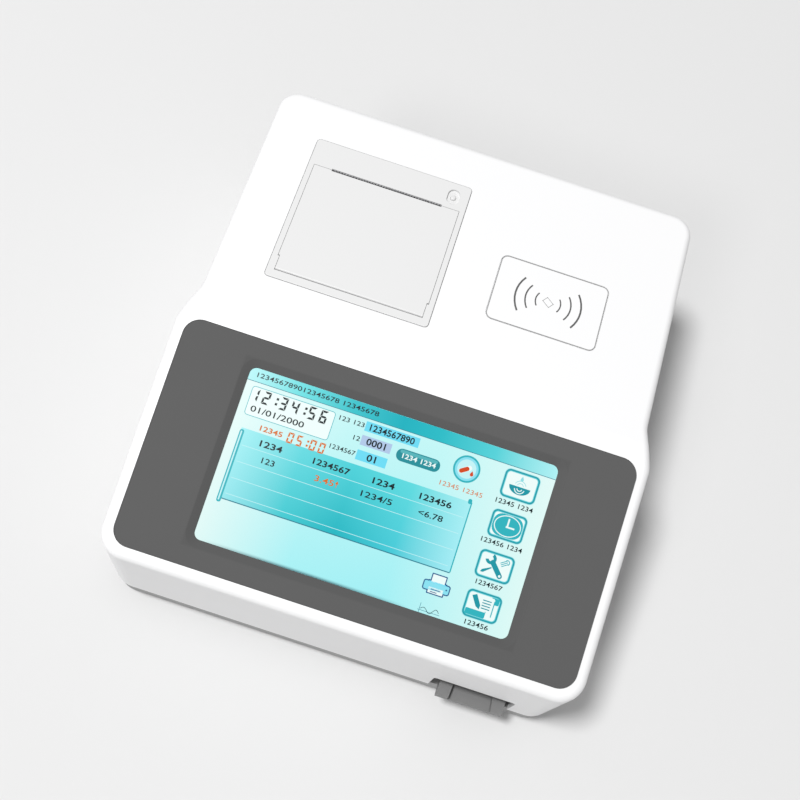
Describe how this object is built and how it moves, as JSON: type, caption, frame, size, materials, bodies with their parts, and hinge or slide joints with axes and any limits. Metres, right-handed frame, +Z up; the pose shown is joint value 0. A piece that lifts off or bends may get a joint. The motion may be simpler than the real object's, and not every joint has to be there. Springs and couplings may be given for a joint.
{
  "type": "rapid test reader",
  "caption": "Desktop rapid test reader with a tilted touch screen, a receipt printer under a deck flap, a contactless card pad and a motor-driven cassette tray.",
  "frame": {"origin": "on the table, in the middle of the footprint with the tray closed", "axes": "+X to the right seen from the front, +Y to the rear, +Z up"},
  "size_m": [0.24, 0.262, 0.1154],
  "materials": {
    "white_housing": "satin moulded, fine spark texture",
    "grey_base": "fine spark texture",
    "dark_panel": "satin, fine grain",
    "screen_glass": "clear, lit from behind",
    "steel": "zinc plated",
    "aluminium_parts": "milled",
    "rubber_black": "matt",
    "circuit_board": "solder mask",
    "grey_tray": "satin moulded",
    "black_plastic": "fine spark texture",
    "printer_white": "satin moulded",
    "gear_plastic": "natural acetal",
    "paper": "uncoated paper",
    "lens_glass": "coated lens"
  },
  "bodies": {
    "housing": {"top_cover": "white_housing", "port_plate": "grey_base", "base_cover": "grey_base", "rubber_feet": "rubber_black", "housing_screws": "steel", "surround_plate": "dark_panel", "touch_glass": "screen_glass", "lcd_module": "steel", "lcd_bracket": "steel", "bracket_screws": "steel", "display_driver_board": "circuit_board", "tray_chassis": "black_plastic", "tray_motor": "steel", "optics_housing": "black_plastic", "objective_lens": "lens_glass", "detector_board": "circuit_board", "code_reader": "black_plastic", "printer_frame": "printer_white", "flap_hinge_pins": "steel", "printer_bracket": "steel", "printer_motor": "steel", "print_head": "aluminium_parts", "tear_bar": "steel", "button_board": "circuit_board", "printer_screws": "steel", "card_pad": "white_housing", "card_antenna": "circuit_board", "main_board": "circuit_board", "board_screws": "steel", "power_inlet": "black_plastic", "usb_sockets": "steel", "network_socket": "steel", "serial_socket": "steel", "switch_frame": "black_plastic"},
    "tray": {"cassette_tray": "grey_tray", "tray_rack": "gear_plastic"},
    "tray_drive": {"drive_pinion": "gear_plastic", "motor_shaft": "steel"},
    "flap": {"printer_flap": "printer_white"},
    "platen": {"platen_roller": "rubber_black", "platen_shaft": "steel", "platen_gear": "gear_plastic"},
    "idler": {"idler_gear": "gear_plastic"},
    "stepper": {"stepper_pinion": "gear_plastic", "stepper_shaft": "steel"},
    "paper": {"paper_roll": "paper", "paper_core": "paper"},
    "feed_key": {"feed_button": "printer_white"},
    "rocker": {"power_rocker": "black_plastic"}
  },
  "joints": [
    {"name": "tray_slide", "type": "slide", "parent": "housing", "child": "tray", "axis": [0, -1, 0], "range_m": [0, 0.072]},
    {"name": "pinion_spin", "type": "hinge", "parent": "housing", "child": "tray_drive", "pos_m": [0.0625, -0.098, 0.0131], "axis": [1, 0, 0], "range_deg": [0, 737]},
    {"name": "flap_hinge", "type": "hinge", "parent": "housing", "child": "flap", "pos_m": [-0.0456, 0.0286, 0.1134], "axis": [1, 0, 0], "range_deg": [0, 88]},
    {"name": "platen_spin", "type": "hinge", "parent": "flap", "child": "platen", "pos_m": [-0.0456, 0.0849, 0.1082], "axis": [1, 0, 0], "continuous": true},
    {"name": "idler_spin", "type": "hinge", "parent": "housing", "child": "idler", "pos_m": [-0.0456, 0.08398, 0.09824], "axis": [1, 0, 0], "continuous": true},
    {"name": "stepper_spin", "type": "hinge", "parent": "housing", "child": "stepper", "pos_m": [-0.0456, 0.09034, 0.09188], "axis": [1, 0, 0], "continuous": true},
    {"name": "roll_spin", "type": "hinge", "parent": "housing", "child": "paper", "pos_m": [-0.0456, 0.052, 0.0861], "axis": [1, 0, 0], "continuous": true},
    {"name": "feed_press", "type": "slide", "parent": "housing", "child": "feed_key", "axis": [0, 0, -1], "range_m": [0, 0.0004], "stiffness_N_per_m": 1500, "springref_m": -0.0003},
    {"name": "power_rock", "type": "hinge", "parent": "housing", "child": "rocker", "pos_m": [-0.07, 0.127, 0.032], "axis": [0, 0, 1], "range_deg": [0, 14]}
  ],
  "couplings": [
    {"joint": "pinion_spin", "follows": "tray_slide", "rad_per_m": 178.57},
    {"joint": "idler_spin", "follows": "platen_spin", "ratio": -0.66667},
    {"joint": "stepper_spin", "follows": "platen_spin", "ratio": 1.3333}
  ]
}
